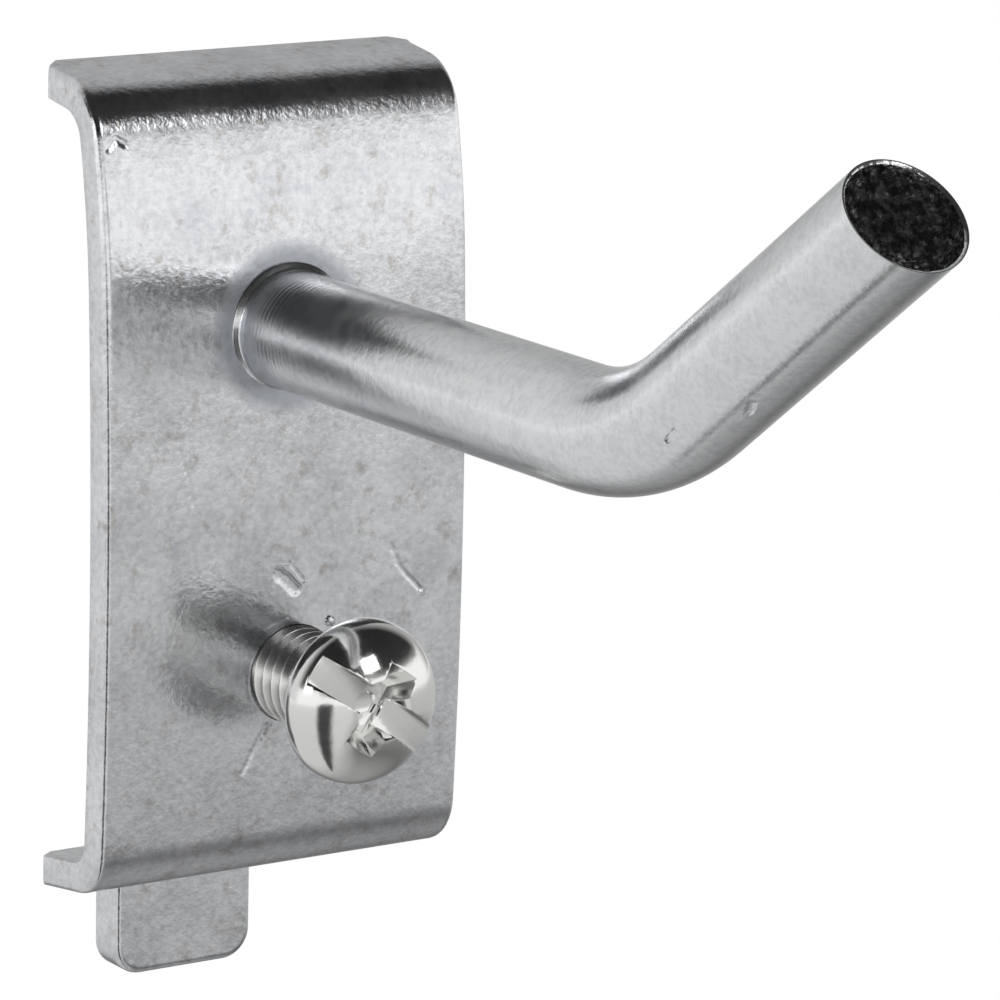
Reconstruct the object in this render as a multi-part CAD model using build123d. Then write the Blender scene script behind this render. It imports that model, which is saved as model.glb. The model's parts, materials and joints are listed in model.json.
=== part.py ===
"""Tool hook for a square-hole perforated steel panel, in millimetres.

A pressed plate stands off the panel on two flanges. A thicker strip lies inside it, and
its ends pass through two holes and drop behind the panel as tongues: the upper one under
the upper flange, the lower one through a notch in the lower flange. A round bar with an
upturned end carries the tool and is riveted through both. A screw tapped through both
presses on the panel, so that the tongues are drawn tight against its back.

The origin is on the panel's front face, on the plate's centre line, at the level where
the upper tongue rests on the edge of its hole. +X is right, +Y goes into the panel, +Z is up.
"""

import os
from math import acos, asin, atan2, cos, degrees, pi, radians, sin, tan

from build123d import *

# Panel that the hook is made for
HOLE_PITCH = 38.0
PANEL_SHEET = 2.0
PANEL_ROOM = 2.9

# Pressed plate
SHEET = 1.6
PLATE_WIDTH = 21.2
FLANGE_SPLAY = 8.0
LOWER_FLANGE_RUN = 4.23
LOWER_BEND_RADIUS = 2.8
FACE_BOW_RADIUS = 280.0
CROWN_RADIUS = 50.0
CROWN_LEAN = 11.7
UPPER_BEND_RADIUS = 3.3
FLANGE_CORNER_RADIUS = 0.5
ROLLED_EDGE_RADIUS = 0.4

# Strip whose ends drop behind the panel
STRIP_SHEET = 2.1
TONGUE_WIDTH = 8.2
TONGUE_DROP = 6.8
TONGUE_CORNER_RADIUS = 1.6
TONGUE_BEND_RADIUS = 1.0
UPPER_ELBOW_RADIUS = 3.0
LOWER_ELBOW_RADIUS = 3.4
LOWER_NECK_SLOPE = 25.0
STRIP_CLEARANCE = 0.05
NOTCH_CLEARANCE = 0.15

# Bar
BAR_DIAMETER = 6.0
BAR_DROP = 9.0
BAR_RUN = 30.9
BAR_BEND_RADIUS = 11.0
BAR_RISE_ANGLE = 36.3
BAR_END_RUN = 23.0
BAR_END_CUT_TILT = 10.4
BAR_COLLAR_DIAMETER = 6.7
BAR_COLLAR_LENGTH = 0.7
RIVET_DIAMETER = 4.4
RIVET_HEAD_DIAMETER = 6.8
RIVET_HEAD_HEIGHT = 1.0
RIVET_CLEARANCE = 0.02

# Locking screw
SCREW_DIAMETER = 5.0
SCREW_CLEARANCE = 0.05
SCREW_OFFSET = 0.4
SCREW_BELOW_BAR = 17.7
SCREW_BACKED_OFF = 5.8
SCREW_SHANK_LENGTH = 12.0
SCREW_POINT_CHAMFER = 0.6
SCREW_HEAD_DIAMETER = 8.5
SCREW_HEAD_HEIGHT = 3.3
SCREW_HEAD_SIDE = 1.2
SCREW_HEAD_ROUNDING = 1.6
SCREW_HEAD_RIM_ROUNDING = 0.2
SCREW_TURNED_BY = 29.0
SLOT_WIDTH = 1.25
SLOT_DEPTH = 1.4
CROSS_SPAN = 4.8
CROSS_DEPTH = 2.2
CROSS_HUB_DIAMETER = 2.6

# Mouth of the screw's hole
HOLE_MOUTH_CHAMFER = 0.25

# How close two places count as the same
NEAR = 0.01

BAR_Z = -BAR_DROP
SCREW_Z = BAR_Z - SCREW_BELOW_BAR
NECK_START = (PANEL_SHEET, -HOLE_PITCH + STRIP_CLEARANCE)
FROM_BASE = (Align.CENTER, Align.CENTER, Align.MIN)


class SheetPath:
    """Follows one face of a bent sheet in the YZ plane, with the metal on its right."""

    def __init__(self, y, z, heading, thickness):
        self.y = y
        self.z = z
        self.heading = heading
        self.thickness = thickness
        self.near = []
        self.far = []

    def offset(self, distance):
        """Gives the point that lies a distance to the right of the path."""
        turn = radians(self.heading)
        return (0, self.y + distance * sin(turn), self.z - distance * cos(turn))

    def run(self, length):
        """Goes straight on."""
        near, far = self.offset(0), self.offset(self.thickness)
        self.y += length * cos(radians(self.heading))
        self.z += length * sin(radians(self.heading))
        self.near.append(Line(near, self.offset(0)))
        self.far.append(Line(far, self.offset(self.thickness)))

    def bend(self, radius, angle):
        """Turns right by an angle, or left if it is negative, on a radius of this face."""
        side = 1 if angle > 0 else -1
        centre = self.offset(side * radius)
        far_radius = radius - side * self.thickness
        start = self.heading
        stops = [start, start - angle / 2, start - angle]
        for edges, size in ((self.near, radius), (self.far, far_radius)):
            points = [
                (0, centre[1] - side * size * sin(radians(stop)),
                 centre[2] + side * size * cos(radians(stop)))
                for stop in stops
            ]
            edges.append(ThreePointArc(*points))
            if edges is self.near:
                self.y, self.z = points[2][1], points[2][2]
        self.heading = start - angle
        return centre

    def solid(self, width):
        """Closes the section and makes it as wide as the strip."""
        first = Line(self.far[0] @ 0, self.near[0] @ 0)
        last = Line(self.near[-1] @ 1, self.far[-1] @ 1)
        section = Face(Wire(self.near + self.far + [first, last]))
        return extrude(section, amount=width / 2, dir=(1, 0, 0), both=True)


def bow_height():
    """Works out how tall the bowed face is, so that the upper flange lies on the strip."""
    splay, lean = radians(FLANGE_SPLAY), radians(CROWN_LEAN)
    top = STRIP_SHEET + STRIP_CLEARANCE + SHEET / cos(splay)
    flange_rise = LOWER_FLANGE_RUN * sin(splay) + LOWER_BEND_RADIUS * cos(splay)
    crown_rise = CROWN_RADIUS * sin(lean) + UPPER_BEND_RADIUS * (cos(splay) - sin(lean))
    shortened_by = (LOWER_BEND_RADIUS + CROWN_RADIUS) / (2 * FACE_BOW_RADIUS)
    return (top + HOLE_PITCH - flange_rise - crown_rise) / (1 - shortened_by)


BOW_HALF_ANGLE = degrees(asin(bow_height() / (2 * FACE_BOW_RADIUS)))


def plate_path():
    """Follows the outside of the plate from the lower flange's edge to the upper one's."""
    path = SheetPath(0, -HOLE_PITCH, 180 - FLANGE_SPLAY, SHEET)
    path.run(LOWER_FLANGE_RUN)
    path.bend(LOWER_BEND_RADIUS, 90 - FLANGE_SPLAY - BOW_HALF_ANGLE)
    bow_centre = path.bend(FACE_BOW_RADIUS, 2 * BOW_HALF_ANGLE)
    crown_centre = path.bend(CROWN_RADIUS, CROWN_LEAN - BOW_HALF_ANGLE)
    path.bend(UPPER_BEND_RADIUS, 90 - CROWN_LEAN - FLANGE_SPLAY)
    path.run(-path.y / cos(radians(FLANGE_SPLAY)))
    return path, bow_centre, crown_centre


PLATE_PATH, BOW_CENTRE, CROWN_CENTRE = plate_path()


def face_y(z):
    """Gives the place of the bowed front face at a height."""
    return BOW_CENTRE[1] - (FACE_BOW_RADIUS**2 - (z - BOW_CENTRE[2]) ** 2) ** 0.5


def base_plate():
    """Makes the plate with its flanges, its two holes and the notch for the lower tongue."""
    plate = roll_edges(PLATE_PATH.solid(PLATE_WIDTH), PLATE_PATH, PLATE_WIDTH)
    plate -= flange_corner_cuts()
    plate = trim_to_panel(plate)
    plate -= neck_notch()
    plate -= screw_hole()
    plate -= hole_mouth(SCREW_DIAMETER / 2 + SCREW_CLEARANCE, face_y(SCREW_Z))
    plate -= rivet_hole()
    return plate


def roll_edges(solid, path, width):
    """Rounds the edges that bound a bent sheet's near face at both of its sides."""
    rolled = []
    for edge in solid.edges():
        middle = edge @ 0.5
        at_side = abs(abs(middle.X) - width / 2) < NEAR
        on_section = Vertex(0, middle.Y, middle.Z)
        if at_side and any(near.distance_to(on_section) < NEAR for near in path.near):
            rolled.append(edge)
    return fillet(rolled, ROLLED_EDGE_RADIUS)


def trim_to_panel(shape):
    """Squares the flange edges off in the plane of the panel."""
    reach = 4 * SHEET
    behind = Pos(0, reach / 2, -HOLE_PITCH / 2) * Box(2 * PLATE_WIDTH, reach, 2 * HOLE_PITCH)
    return shape - behind


def flange_corner_cuts():
    """Makes the pieces that leave the flanges' rear corners round."""
    radius = FLANGE_CORNER_RADIUS
    height = 2 * HOLE_PITCH
    cuts = []
    for side in (-1, 1):
        corner = Pos(side * PLATE_WIDTH / 2, 0, -HOLE_PITCH / 2)
        block = corner * Box(2 * radius, 2 * radius, height)
        post = corner * Pos(-side * radius, -radius, 0) * Cylinder(radius, height)
        cuts.append(block - post)
    return cuts


def lying_cylinder(radius, x, y, z, length):
    """Makes a cylinder that runs back along +Y from a point."""
    return Pos(x, y, z) * Rot(-90, 0, 0) * Cylinder(radius, length, align=FROM_BASE)


def hole_mouth(radius, wall):
    """Makes the countersink that opens the screw's hole at the front."""
    depth = 2 * HOLE_MOUTH_CHAMFER
    cone = Cone(radius + depth, radius, depth, align=FROM_BASE)
    return Pos(SCREW_OFFSET, wall - HOLE_MOUTH_CHAMFER, SCREW_Z) * Rot(-90, 0, 0) * cone


def rivet_hole():
    """Makes the hole through plate and strip for the bar's riveted tail."""
    radius = RIVET_DIAMETER / 2 + RIVET_CLEARANCE
    depth = 3 * SHEET + 2 * STRIP_SHEET
    return lying_cylinder(radius, 0, face_y(BAR_Z) - SHEET, BAR_Z, depth)


def screw_hole():
    """Makes the hole through plate and strip for the locking screw."""
    radius = SCREW_DIAMETER / 2 + SCREW_CLEARANCE
    depth = 3 * SHEET + 2 * STRIP_SHEET
    return lying_cylinder(radius, SCREW_OFFSET, face_y(SCREW_Z) - SHEET, SCREW_Z, depth)


def lower_elbow():
    """Finds how far the lower neck rises to its elbow, and the heading the elbow ends on.

    The neck's underside clears the hole's edge at the panel's back. The elbow's outer arc
    touches it and the inside of the bowed face.
    """
    slope = radians(LOWER_NECK_SLOPE)
    along = (-cos(slope), sin(slope))
    radius = LOWER_ELBOW_RADIUS
    seat_radius = FACE_BOW_RADIUS - SHEET
    off = (NECK_START[0] + radius * sin(slope) - BOW_CENTRE[1],
           NECK_START[1] + radius * cos(slope) - BOW_CENTRE[2])
    half = off[0] * along[0] + off[1] * along[1]
    rest = off[0] ** 2 + off[1] ** 2 - (seat_radius - radius) ** 2
    travel = -half + (half**2 - rest) ** 0.5
    centre = (off[0] + travel * along[0], off[1] + travel * along[1])
    return travel, degrees(atan2(-centre[0], centre[1]))


def neck_path():
    """Follows the strip's front and underside from the lower tongue's tip to the elbow's end."""
    travel, heading = lower_elbow()
    slope = radians(LOWER_NECK_SLOPE)
    turn = 90 - LOWER_NECK_SLOPE
    tangent = TONGUE_BEND_RADIUS * tan(radians(turn / 2))
    past_start = PANEL_ROOM - NECK_START[0]
    corner_z = NECK_START[1] - past_start * tan(slope)
    tip_z = -HOLE_PITCH - TONGUE_DROP
    path = SheetPath(PANEL_ROOM, tip_z, 90, STRIP_SHEET)
    path.run(corner_z - tangent - tip_z)
    path.bend(TONGUE_BEND_RADIUS, -turn)
    path.run(travel + past_start / cos(slope) - tangent)
    path.bend(LOWER_ELBOW_RADIUS, 180 - LOWER_NECK_SLOPE - heading)
    return path


def neck_notch():
    """Makes the notch that lets the lower neck through the lower flange."""
    slope = radians(LOWER_NECK_SLOPE)
    splay = radians(FLANGE_SPLAY)
    flange_top = -HOLE_PITCH + SHEET / cos(splay)
    neck_z = NECK_START[1] + NECK_START[0] * tan(slope)
    meeting = (neck_z - flange_top) / (tan(slope) - tan(splay))
    depth = NOTCH_CLEARANCE / sin(slope) - meeting
    width = TONGUE_WIDTH + 2 * NOTCH_CLEARANCE
    return Pos(0, -depth / 2, -HOLE_PITCH) * Box(width, depth + NEAR, 3 * SHEET)


def round_tips(strip):
    """Rounds the two lower corners of both tongues."""
    for tip_z in (-TONGUE_DROP, -HOLE_PITCH - TONGUE_DROP):
        corners = strip.edges().filter_by(Axis.Y)
        corners = corners.filter_by_position(Axis.Z, tip_z - NEAR, tip_z + NEAR)
        strip = fillet(corners, TONGUE_CORNER_RADIUS)
    return strip


def tongue_strip():
    """Makes the strip, which follows the plate's inside and has a tongue at each end."""
    seat_radius = CROWN_RADIUS - SHEET
    leg_height = STRIP_SHEET - UPPER_ELBOW_RADIUS - CROWN_CENTRE[2]
    heading = degrees(acos(leg_height / (seat_radius - UPPER_ELBOW_RADIUS)))
    bow_end = 90 - BOW_HALF_ANGLE
    path = neck_path()
    path.bend(FACE_BOW_RADIUS - SHEET, path.heading - bow_end)
    path.bend(seat_radius, bow_end - heading)
    path.bend(UPPER_ELBOW_RADIUS, heading)
    path.run(PANEL_ROOM - TONGUE_BEND_RADIUS - path.y)
    path.bend(TONGUE_BEND_RADIUS + STRIP_SHEET, 90)
    path.run(TONGUE_DROP - TONGUE_BEND_RADIUS)
    strip = round_tips(path.solid(TONGUE_WIDTH))
    strip = roll_edges(strip, path, TONGUE_WIDTH)
    strip -= rivet_hole()
    return strip - screw_hole()


def hook_rod(plate, strip):
    """Makes the bar, its collar and the tail that is riveted over behind the strip."""
    face = face_y(BAR_Z)
    rise = radians(BAR_RISE_ANGLE)
    spare = BAR_DIAMETER
    knee = (0, face - BAR_RUN, BAR_Z)
    end = (0, knee[1] - BAR_END_RUN * cos(rise), BAR_Z + BAR_END_RUN * sin(rise))
    past = (0, end[1] - spare * cos(rise), end[2] + spare * sin(rise))
    path = FilletPolyline((0, face + SHEET / 2, BAR_Z), knee, past, radius=BAR_BEND_RADIUS)
    start = Plane(origin=path @ 0, z_dir=path % 0)
    bar = sweep(start * Circle(BAR_DIAMETER / 2), path=path)
    cut = rise + radians(BAR_END_CUT_TILT)
    bar = split(bar, bisect_by=Plane(origin=end, z_dir=(0, -cos(cut), sin(cut))), keep=Keep.BOTTOM)
    collar = Cone(BAR_COLLAR_DIAMETER / 2, BAR_DIAMETER / 2, BAR_COLLAR_LENGTH, align=FROM_BASE)
    bar += Pos(0, face, BAR_Z) * Rot(90, 0, 0) * collar
    bar += lying_cylinder(BAR_COLLAR_DIAMETER / 2, 0, face, BAR_Z, SHEET / 2)
    tail = SHEET + STRIP_SHEET + RIVET_HEAD_HEIGHT
    bar += lying_cylinder(RIVET_DIAMETER / 2, 0, face, BAR_Z, tail)
    head = lying_cylinder(RIVET_HEAD_DIAMETER / 2, 0, face + SHEET + STRIP_SHEET / 2, BAR_Z,
                          tail - SHEET - STRIP_SHEET / 2)
    rim = head.edges().filter_by(GeomType.CIRCLE).sort_by(Axis.Y)[-1]
    bar += fillet(rim, RIVET_HEAD_HEIGHT / 2)
    return bar - plate - strip


def locking_screw():
    """Makes the screw, with a slot across its domed head and a cross recess."""
    shank = Pos(0, 0, -SCREW_SHANK_LENGTH / 2) * Cylinder(SCREW_DIAMETER / 2, SCREW_SHANK_LENGTH)
    shank = chamfer(shank.edges().sort_by(Axis.Z)[0], SCREW_POINT_CHAMFER)
    head = screw_head()
    slot_z = SCREW_HEAD_HEIGHT - SLOT_DEPTH
    slot_length = 2 * SCREW_HEAD_DIAMETER
    slot = Pos(0, 0, slot_z) * Box(slot_length, SLOT_WIDTH, SCREW_HEAD_HEIGHT, align=FROM_BASE)
    wing = Pos(0, 0, slot_z) * Box(SLOT_WIDTH, CROSS_SPAN, SCREW_HEAD_HEIGHT, align=FROM_BASE)
    hub_z = SCREW_HEAD_HEIGHT - CROSS_DEPTH
    hub = Pos(0, 0, hub_z) * Cone(CROSS_HUB_DIAMETER / 4, CROSS_HUB_DIAMETER / 2 + CROSS_DEPTH / 4,
                                  CROSS_DEPTH + NEAR, align=FROM_BASE)
    screw = shank + (head - Rot(0, 0, -SCREW_TURNED_BY) * (slot + wing + hub))
    bearing = face_y(SCREW_Z) - SCREW_BACKED_OFF
    return Pos(SCREW_OFFSET, bearing, SCREW_Z) * Rot(90, 0, 0) * screw


def screw_head():
    """Turns the pan head about the screw's axis, with its bearing face at zero."""
    radius = SCREW_HEAD_DIAMETER / 2
    dome = SCREW_HEAD_HEIGHT - SCREW_HEAD_SIDE
    corner = SCREW_HEAD_ROUNDING
    reach = radius - corner
    crown = (reach**2 + dome**2 - corner**2) / (2 * (dome - corner))
    crown_z = SCREW_HEAD_HEIGHT - crown
    lean = atan2(reach, SCREW_HEAD_SIDE - crown_z)
    brow = (crown * sin(lean), 0, crown_z + crown * cos(lean))
    half_turn = (pi / 2 - lean) / 2
    over_corner = (reach + corner * cos(half_turn), 0, SCREW_HEAD_SIDE + corner * sin(half_turn))
    over_crown = (crown * sin(lean / 2), 0, crown_z + crown * cos(lean / 2))
    section = [
        Line((0, 0, 0), (radius, 0, 0)),
        Line((radius, 0, 0), (radius, 0, SCREW_HEAD_SIDE)),
        ThreePointArc((radius, 0, SCREW_HEAD_SIDE), over_corner, brow),
        ThreePointArc(brow, over_crown, (0, 0, SCREW_HEAD_HEIGHT)),
        Line((0, 0, SCREW_HEAD_HEIGHT), (0, 0, 0)),
    ]
    head = revolve(Face(Wire(section)), axis=Axis.Z)
    bearing_rim = head.edges().filter_by(GeomType.CIRCLE).sort_by(Axis.Z)[0]
    return fillet(bearing_rim, SCREW_HEAD_RIM_ROUNDING)


def main():
    """Builds each piece and writes it to its own file."""
    os.makedirs("parts", exist_ok=True)
    plate = base_plate()
    strip = tongue_strip()
    pieces = {
        "base_plate": plate,
        "tongue_strip": strip,
        "hook_rod": hook_rod(plate, strip),
        "locking_screw": locking_screw(),
    }
    for name, piece in pieces.items():
        export_step(piece, f"parts/{name}.step")


main()
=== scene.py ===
"""Zinc plated tool hook for a perforated panel: its pieces, looks, stage and camera.

The packed model gives the frame, in metres. The origin is on the panel's front face,
+X is right, +Y goes into the panel and +Z is up.
"""

import json
import math

import bmesh
import bpy
from mathutils import Matrix, Vector


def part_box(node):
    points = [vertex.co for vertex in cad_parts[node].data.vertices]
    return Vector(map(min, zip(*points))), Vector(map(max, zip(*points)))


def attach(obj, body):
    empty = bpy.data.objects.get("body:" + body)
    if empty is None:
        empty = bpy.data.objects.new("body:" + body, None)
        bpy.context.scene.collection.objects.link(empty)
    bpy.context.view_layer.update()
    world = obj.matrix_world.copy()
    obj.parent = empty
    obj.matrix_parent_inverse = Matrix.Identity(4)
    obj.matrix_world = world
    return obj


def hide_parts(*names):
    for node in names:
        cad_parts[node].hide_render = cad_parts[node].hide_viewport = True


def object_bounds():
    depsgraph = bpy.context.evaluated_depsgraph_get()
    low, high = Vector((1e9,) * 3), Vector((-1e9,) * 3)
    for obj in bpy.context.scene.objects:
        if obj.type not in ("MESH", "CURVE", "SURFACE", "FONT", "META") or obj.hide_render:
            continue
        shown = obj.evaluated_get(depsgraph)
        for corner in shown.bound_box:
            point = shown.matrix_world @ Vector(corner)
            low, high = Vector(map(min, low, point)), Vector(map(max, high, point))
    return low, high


bl_info = {
    "name": "Panel Hook",
    "version": (1, 0, 0),
    "blender": (4, 5, 0),
    "location": "View3D > Sidebar > Hook",
    "description": "Builds the plate, bar, screw, finishes and stage of a panel hook",
    "category": "Object",
}

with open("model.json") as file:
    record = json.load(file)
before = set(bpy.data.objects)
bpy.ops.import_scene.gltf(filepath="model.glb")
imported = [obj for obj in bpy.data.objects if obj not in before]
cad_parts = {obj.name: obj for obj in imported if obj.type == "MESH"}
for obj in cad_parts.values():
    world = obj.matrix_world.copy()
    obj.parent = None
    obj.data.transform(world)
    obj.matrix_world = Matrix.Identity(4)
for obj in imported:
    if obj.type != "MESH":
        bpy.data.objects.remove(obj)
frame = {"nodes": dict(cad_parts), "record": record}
CAD_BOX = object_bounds()

MM = 0.001
# How close two vertices lie that count as one, and two places that count as the same
DOUBLE = 0.0005 * MM
NEAR = 0.01 * MM
# How far a face's normal must point along a direction to look that way
ALONG = 0.99

# Places that the packed frame gives
BAR_MOUNT = next(m for m in frame["record"]["mounts"] if m["name"] == "bar")
BAR_Z = BAR_MOUNT["pos_m"][2]
SCREW_LOW, SCREW_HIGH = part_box("locking_screw")
SCREW_X = (SCREW_LOW.x + SCREW_HIGH.x) / 2
SCREW_Z = (SCREW_LOW.z + SCREW_HIGH.z) / 2
RIVET_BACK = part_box("hook_rod")[1].y

# Thicknesses of what holds the bar behind the plate, and how deep its shoulders sit
STRIP = 2.1 * MM
RIVET_HEAD_HEIGHT = 1.0 * MM
SEATED = 0.03 * MM


def linear(hex_colour):
    """Turns an sRGB hex colour to linear light."""
    channels = [int(hex_colour[i:i + 2], 16) / 255 for i in (0, 2, 4)]
    straight = [c / 12.92 if c <= 0.04045 else ((c + 0.055) / 1.055) ** 2.4 for c in channels]
    return (*straight, 1.0)


def length(name, description, size_mm):
    """Describes a length that a user may change."""
    return bpy.props.FloatProperty(
        name=name, description=description, default=size_mm * MM, subtype="DISTANCE", unit="LENGTH",
        precision=5)


def angle(name, description, degrees):
    """Describes an angle that a user may change."""
    return bpy.props.FloatProperty(
        name=name, description=description, default=math.radians(degrees), subtype="ANGLE",
        unit="ROTATION")


def colour(name, description, hex_colour):
    """Describes a colour that a user may change."""
    return bpy.props.FloatVectorProperty(
        name=name, description=description, default=linear(hex_colour), size=4, min=0, max=1,
        subtype="COLOR")


class HookPlateSizes(bpy.types.PropertyGroup):
    """Sizes of the pressed plate."""

    width: length("Width", "Width of the plate", 21.2)
    sheet: length("Sheet", "Thickness of the sheet", 1.6)
    pitch: length("Pitch", "Distance between the two holes of the panel", 38.0)
    splay: angle("Splay", "How far each flange leans off square", 8.0)
    lower_flange: length("Lower flange", "Straight length of the lower flange", 4.23)
    lower_bend: length("Lower bend", "Outside radius of the lower bend", 2.8)
    bow_radius: length("Bow", "Radius of the bowed face", 280.0)
    bow_height: length("Bow height", "Height of the bowed face", 28.338)
    crown_radius: length("Crown", "Radius of the crown above the face", 50.0)
    crown_lean: angle("Crown lean", "Lean of the crown where the upper bend starts", 11.7)
    upper_bend: length("Upper bend", "Outside radius of the upper bend", 3.3)
    corner_width: length("Corner width", "Width that each flange's rear corner loses", 1.3)
    corner_depth: length("Corner depth", "Depth that each flange's rear corner loses", 0.5)
    rolled_edge: length("Rolled edge", "Radius of the arris that the die rolled over", 0.4)
    burr_edge: length("Burr edge", "Radius of the arris on the inside", 0.1)
    notch_width: length("Notch", "Width of the notch for the lower tongue", 8.5)
    notch_depth: length("Notch depth", "Depth of the notch for the lower tongue", 2.3)


class HookBarSizes(bpy.types.PropertyGroup):
    """Sizes of the bar."""

    diameter: length("Diameter", "Diameter of the bar", 6.0)
    bend_radius: length("Bend", "Radius of the bend along the bar's axis", 15.0)
    rise: angle("Rise", "How far the end turns up", 36.3)
    run: length("Run", "Distance from the plate to the knee of the bend", 30.9)
    end_run: length("End run", "Distance from the knee to the end", 23.0)
    cut_tilt: angle("Cut", "How far the end face leans back", 10.4)
    collar: length("Collar", "Diameter of the collar at the plate", 6.7)
    collar_length: length("Collar length", "Length of the collar", 0.7)
    rivet: length("Rivet", "Diameter of the riveted tail", 4.4)
    rivet_head: length("Rivet head", "Diameter of the riveted head", 6.8)


class HookScrewSizes(bpy.types.PropertyGroup):
    """Sizes of the locking screw."""

    thread: length("Thread", "Outside diameter of the thread", 5.0)
    pitch: length("Pitch", "Distance between two turns of the thread", 0.8)
    shank: length("Shank", "Length of the threaded shank", 12.0)
    point: length("Point", "Chamfer at the point", 0.6)
    head: length("Head", "Diameter of the head", 8.4)
    head_height: length("Head height", "Height of the head above its bearing face", 2.95)
    head_side: length("Head side", "Height of the head's straight side", 0.4)
    slot_width: length("Slot", "Width of the slot", 1.6)
    slot_depth: length("Slot depth", "Depth of the slot below the crown", 1.65)
    cross_width: length("Cross width", "Width of the cross recess", 2.1)
    cross_span: length("Cross", "Length of the cross recess from tip to tip", 5.8)
    cross_depth: length("Cross depth", "Depth of the cross recess below the crown", 2.2)
    turned_by: angle("Turn", "How far the slot falls to the right", 35.0)


class HookFinishes(bpy.types.PropertyGroup):
    """Colours of the plated finishes."""

    zinc_light: colour("Zinc", "Lighter grains of the plating", "F2F3F5")
    zinc_dark: colour("Zinc, dark", "Darker grains of the plating", "D2D4D8")
    stain: colour("Stain", "Faint dry stains on the plating", "A39B8E")
    # The ring round the bar's root is duller plating from the riveting, and this darker grey on it is
    # painted shade for the bar's shade and reflection on the plate
    ring: colour("Dull ring", "Dull ring round the bar's root", "A3A9B1")
    bar_zinc: colour("Bar", "Plating of the bar", "F2F3F4")
    bar_dark: colour("Bar, dark", "Darker grains of the bar's plating", "DFE1E4")
    screw_zinc: colour("Screw", "Bright plating of the screw", "F0F0EE")
    torn: colour("Torn steel", "Bare torn face at the bar's end", "3E3E40")
    torn_light: colour("Torn steel, light", "Ridges of the torn face", "98989A")
    floor: colour("Floor", "Pale floor", "F4F4F3")


class HookStage(bpy.types.PropertyGroup):
    """Camera and floor."""

    azimuth: angle("Azimuth", "Camera round the hook", -33.89)
    elevation: angle("Elevation", "Camera above the hook", 12.8)
    roll: angle("Roll", "Camera's own roll", 1.375)
    lens: bpy.props.FloatProperty(
        name="Lens", description="Focal length in millimetres", default=211.32)
    floor_drop: length("Floor", "How far the floor lies below the hook", 90.0)


def begin(name):
    """Names the new primitive, puts its place in its mesh and opens all of it for editing."""
    obj = bpy.context.object
    obj.name = name
    obj.data.name = name
    bpy.ops.object.transform_apply(location=True, rotation=True, scale=True)
    bpy.ops.object.mode_set(mode="EDIT")
    bpy.ops.mesh.select_all(action="SELECT")
    return obj


def begin_point(name, place):
    """Starts a piece as one vertex, from a small plane merged at its middle."""
    bpy.ops.object.select_all(action="DESELECT")
    bpy.ops.mesh.primitive_plane_add(size=MM, location=place)
    obj = begin(name)
    bpy.ops.mesh.select_mode(type="VERT")
    bpy.ops.mesh.select_all(action="SELECT")
    bpy.ops.mesh.merge(type="CENTER")
    return obj


def draw_out(move):
    """Extrudes what is selected along a move."""
    bpy.ops.mesh.extrude_region_move(TRANSFORM_OT_translate={"value": tuple(move)})


def draw_through(points):
    """Extrudes the selected vertex through points of radius and height about the Z axis."""
    for start, stop in zip(points, points[1:]):
        draw_out((stop[0] - start[0], 0, stop[1] - start[1]))


def pick(obj, kind, test):
    """Selects the vertices, edges or faces that pass a test."""
    bpy.ops.mesh.select_mode(type=kind)
    bpy.ops.mesh.select_all(action="DESELECT")
    mesh = bmesh.from_edit_mesh(obj.data)
    for part in {"VERT": mesh.verts, "EDGE": mesh.edges, "FACE": mesh.faces}[kind]:
        if test(part):
            part.select_set(True)
    mesh.select_flush_mode()
    bmesh.update_edit_mesh(obj.data)


def middle(part):
    """Gives the middle of an edge or a face."""
    return sum((v.co for v in part.verts), Vector()) / len(part.verts)


def close_up():
    """Merges doubles and turns every face of the open piece outwards."""
    bpy.ops.mesh.select_all(action="SELECT")
    bpy.ops.mesh.remove_doubles(threshold=DOUBLE)
    bpy.ops.mesh.normals_make_consistent(inside=False)


def saw_off(place, facing):
    """Cuts all of the open piece that lies beyond a plane, and closes the cut."""
    bpy.ops.mesh.select_all(action="SELECT")
    bpy.ops.mesh.bisect(
        plane_co=place, plane_no=facing, use_fill=True, clear_outer=True, threshold=DOUBLE)


def leave():
    """Goes back to object mode."""
    bpy.ops.object.mode_set(mode="OBJECT")


def turn_full(steps):
    """Spins the selected profile once about the Z axis."""
    bpy.ops.mesh.spin(steps=steps, angle=2 * math.pi, center=(0, 0, 0), axis=(0, 0, 1))
    close_up()


def apply_modifier(obj, kind, **settings):
    """Adds a modifier with its settings and applies it."""
    bpy.context.view_layer.objects.active = obj
    modifier = obj.modifiers.new(kind.lower(), kind)
    for name, value in settings.items():
        setattr(modifier, name, value)
    bpy.ops.object.modifier_apply(modifier=modifier.name)


def combine(obj, tool, operation):
    """Cuts, joins or meets a piece with a tool, and takes the tool away."""
    apply_modifier(obj, "BOOLEAN", operation=operation, object=tool, solver="EXACT")
    bpy.data.objects.remove(tool, do_unlink=True)


def smooth(obj, degrees):
    """Shades a piece smooth where its faces meet at less than an angle."""
    bpy.ops.object.select_all(action="DESELECT")
    obj.select_set(True)
    bpy.context.view_layer.objects.active = obj
    bpy.ops.object.shade_smooth_by_angle(angle=math.radians(degrees))


def stand_for(obj, node, body):
    """Lets a piece ride on a body in place of a CAD node."""
    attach(obj, body)
    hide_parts(node)


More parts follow.
